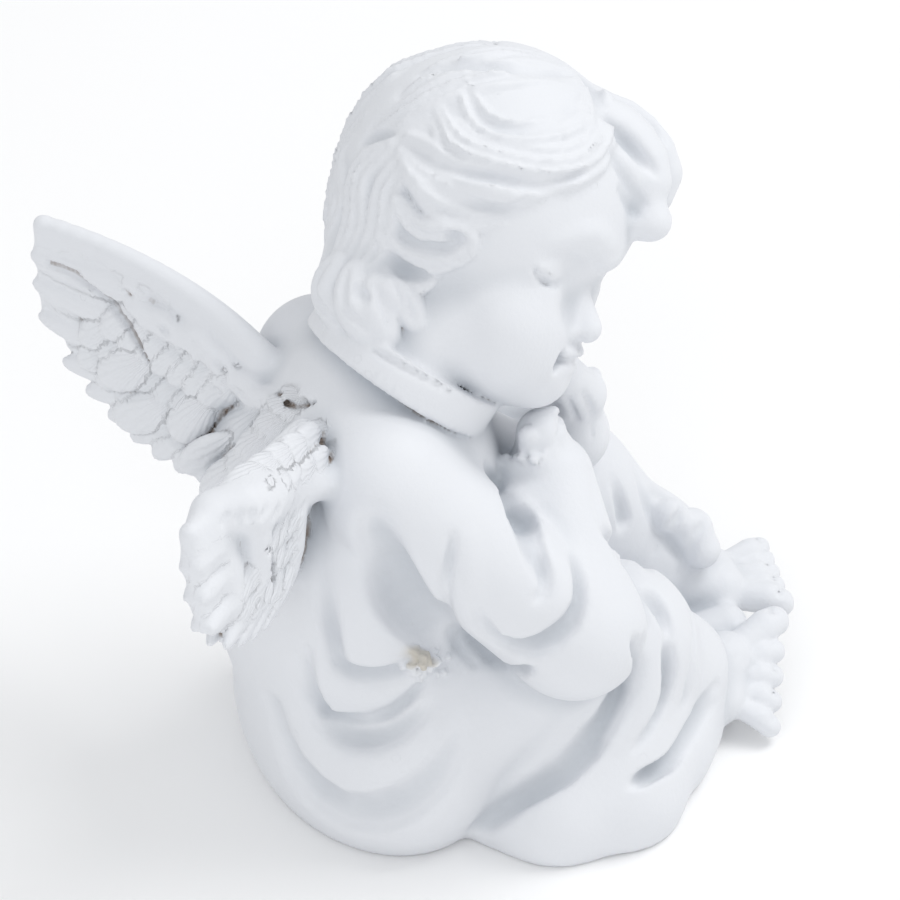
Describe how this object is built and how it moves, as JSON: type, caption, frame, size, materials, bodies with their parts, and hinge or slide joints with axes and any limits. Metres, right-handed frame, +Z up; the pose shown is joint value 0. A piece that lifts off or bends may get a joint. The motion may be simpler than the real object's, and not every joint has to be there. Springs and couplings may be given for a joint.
{
  "type": "cherub figurine",
  "caption": "Small seated cherub figurine in white plaster, chin on its hands, with a long robe, curled hair and two feathered wings.",
  "frame": {"origin": "on the flat underside, under the figure's lap, in the plane it stands on", "axes": "+Z up, -Y the way the seated body faces, +X the figure's own left side"},
  "size_m": [0.0685, 0.0843, 0.0873],
  "materials": {
    "plaster": "matte white cast plaster"
  },
  "bodies": {
    "root": {"cherub_figurine": "plaster"}
  },
  "joints": []
}
